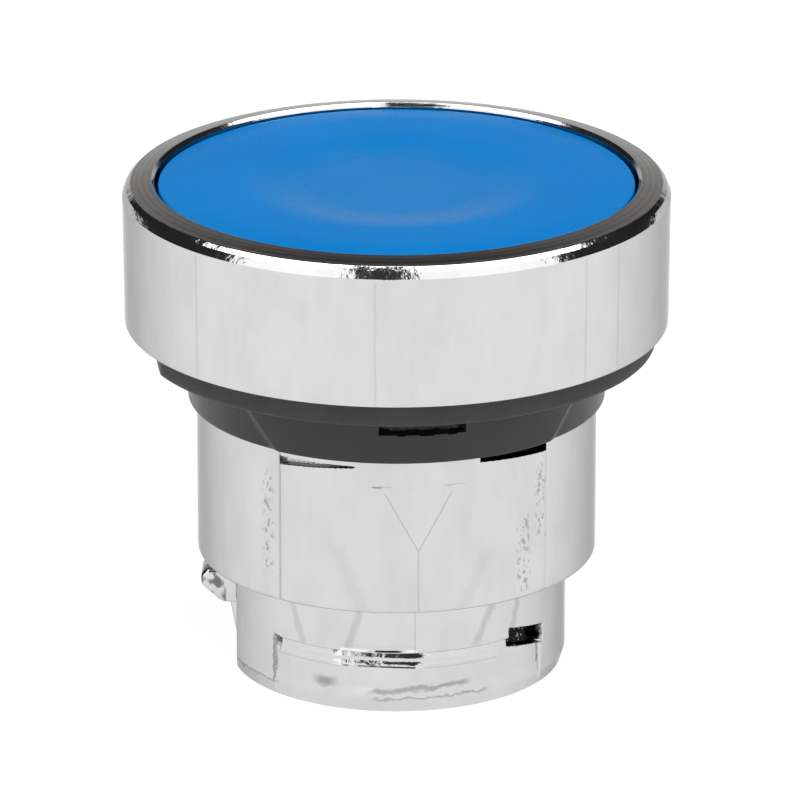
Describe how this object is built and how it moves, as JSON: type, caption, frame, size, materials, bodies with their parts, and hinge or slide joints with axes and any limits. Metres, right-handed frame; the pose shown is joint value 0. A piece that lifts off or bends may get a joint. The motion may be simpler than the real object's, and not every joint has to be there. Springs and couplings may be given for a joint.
{
  "type": "industrial push button",
  "caption": "Flush spring-return push button head with a metal bezel and bayonet barrel for a 22 mm panel hole.",
  "frame": {"origin": "centre of the barrel's rear rim, on the button's axis", "axes": "+Z along the button's axis towards the finger; -Y is the side with the arrow and the moulded slot; +X completes the frame"},
  "size_m": [0.029, 0.029, 0.0269],
  "materials": {
    "chrome_bezel": "bright chrome plate on zinc",
    "chrome_barrel": "bright chrome plate on a zinc casting",
    "blue_cap": "satin moulded plastic",
    "black_plastic": "moulded, satin",
    "grey_plastic": "moulded, satin",
    "natural_plastic": "natural acetal",
    "seal_rubber": "matte",
    "ring_plastic": "moulded, slightly glossy",
    "black_rubber": "matte",
    "plated_steel": "zinc plated",
    "spring_steel": "drawn wire"
  },
  "bodies": {
    "housing": {"barrel": "chrome_barrel", "bezel": "chrome_bezel", "bezel_lock_ring": "spring_steel", "lip_seal": "black_rubber", "seal_clamp": "plated_steel", "liner_sleeve": "natural_plastic", "flange_seal": "seal_rubber", "centring_ring": "ring_plastic", "stem_bush": "natural_plastic", "spring_seat": "plated_steel", "rest_buffer": "black_rubber", "return_spring": "spring_steel"},
    "button": {"push_cap": "blue_cap", "cap_carrier": "black_plastic", "stem": "grey_plastic", "pusher_plate": "black_plastic", "stem_clip": "spring_steel"}
  },
  "joints": [
    {"name": "button_press", "type": "slide", "parent": "housing", "child": "button", "axis": [0, 0, -1], "range_m": [0, 0.0043], "stiffness_N_per_m": 325, "springref_m": -0.0074, "deforming": ["return_spring"]}
  ]
}
